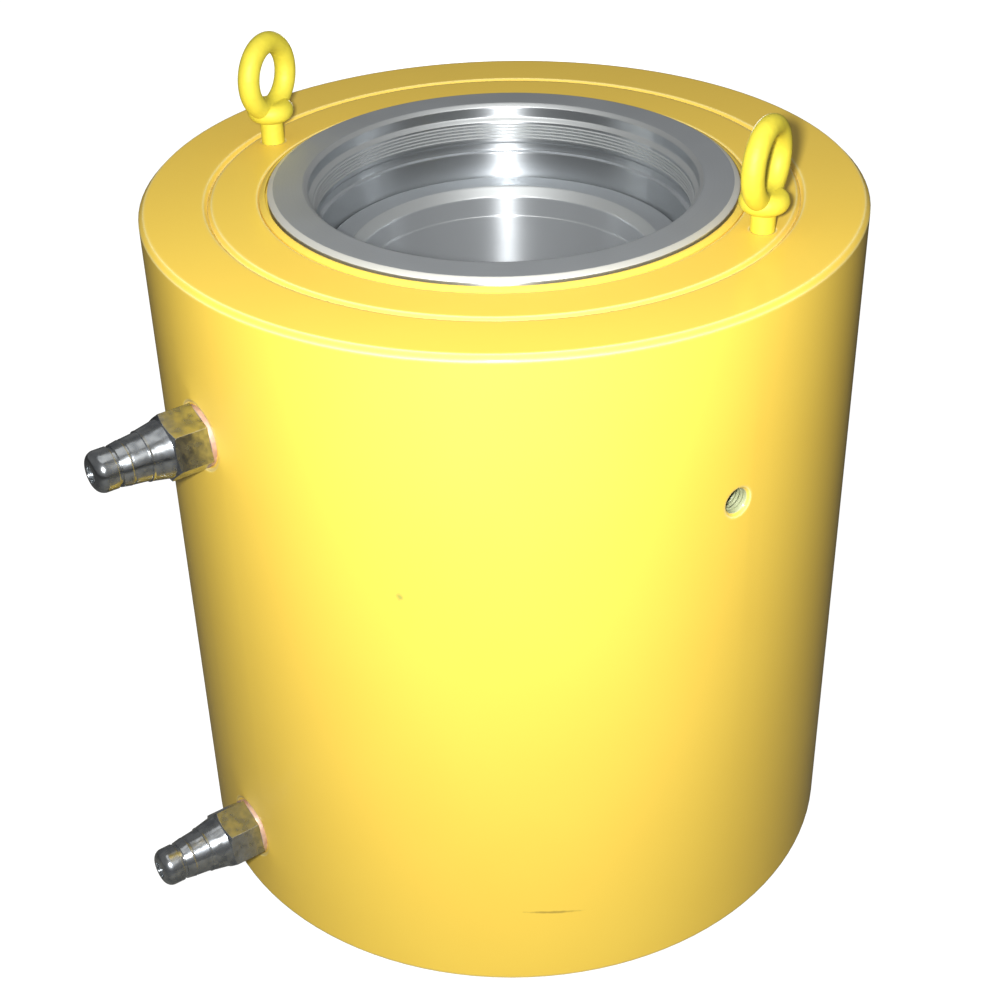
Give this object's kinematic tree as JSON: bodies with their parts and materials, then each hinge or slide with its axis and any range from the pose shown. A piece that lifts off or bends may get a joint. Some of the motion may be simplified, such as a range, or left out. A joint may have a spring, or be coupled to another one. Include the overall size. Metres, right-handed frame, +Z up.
{
  "type": "hollow plunger cylinder",
  "caption": "Double-acting hydraulic cylinder with a hollow plunger around an open centre hole, lifting eyebolts on its gland nut and hose couplers on one side.",
  "frame": {"origin": "centre of the base, on the axis of the through hole", "axes": "+Z up, the way the plunger extends; the hose couplers point along -X; a side tapped hole faces -Y"},
  "size_m": [0.3466, 0.3, 0.3615],
  "materials": {
    "yellow_enamel": "gloss enamel over machined steel",
    "lemon_enamel": "thick gloss enamel over forged steel",
    "machined_steel": "fine turned",
    "zinc_steel": "bright zinc plate",
    "copper": "annealed copper",
    "nitrile": "moulded",
    "urethane": "moulded",
    "guide_bronze": "bronze-filled PTFE",
    "ptfe": "skived",
    "spring_steel": "drawn wire"
  },
  "bodies": {
    "cylinder": {"cylinder_body": "yellow_enamel", "gland_nut": "yellow_enamel", "rod_wiper": "urethane", "rod_seal": "urethane", "gland_guide_ring": "guide_bronze", "gland_o_ring": "nitrile", "gland_backup_ring": "ptfe", "centre_tube": "machined_steel", "tube_o_ring": "nitrile", "tube_backup_ring": "ptfe", "eyebolt_left": "lemon_enamel", "eyebolt_right": "lemon_enamel", "retract_coupler": "zinc_steel", "retract_washer": "copper", "retract_spring": "spring_steel", "retract_spring_seat": "machined_steel", "retract_clip": "spring_steel", "advance_coupler": "zinc_steel", "advance_washer": "copper", "advance_spring": "spring_steel", "advance_spring_seat": "machined_steel", "advance_clip": "spring_steel"},
    "plunger": {"hollow_plunger": "machined_steel", "piston_head": "machined_steel", "piston_o_ring": "nitrile", "piston_seal": "guide_bronze", "piston_spring_ring": "nitrile", "lower_guide_ring": "guide_bronze", "upper_guide_ring": "guide_bronze", "inner_seal": "guide_bronze", "inner_spring_ring": "nitrile", "inner_guide_ring": "guide_bronze", "piston_lock_screws": "spring_steel"},
    "retract_poppet": {"retract_poppet": "machined_steel"},
    "advance_poppet": {"advance_poppet": "machined_steel"}
  },
  "joints": [
    {"name": "plunger_slide", "type": "slide", "parent": "cylinder", "child": "plunger", "axis": [0, 0, 1], "range_m": [0, 0.15]},
    {"name": "retract_valve", "type": "slide", "parent": "cylinder", "child": "retract_poppet", "axis": [1, 0, 0], "range_m": [0, 0.004], "stiffness_N_per_m": 2000, "springref_m": -0.002, "deforming": ["retract_spring"]},
    {"name": "advance_valve", "type": "slide", "parent": "cylinder", "child": "advance_poppet", "axis": [1, 0, 0], "range_m": [0, 0.004], "stiffness_N_per_m": 2000, "springref_m": -0.002, "deforming": ["advance_spring"]}
  ]
}
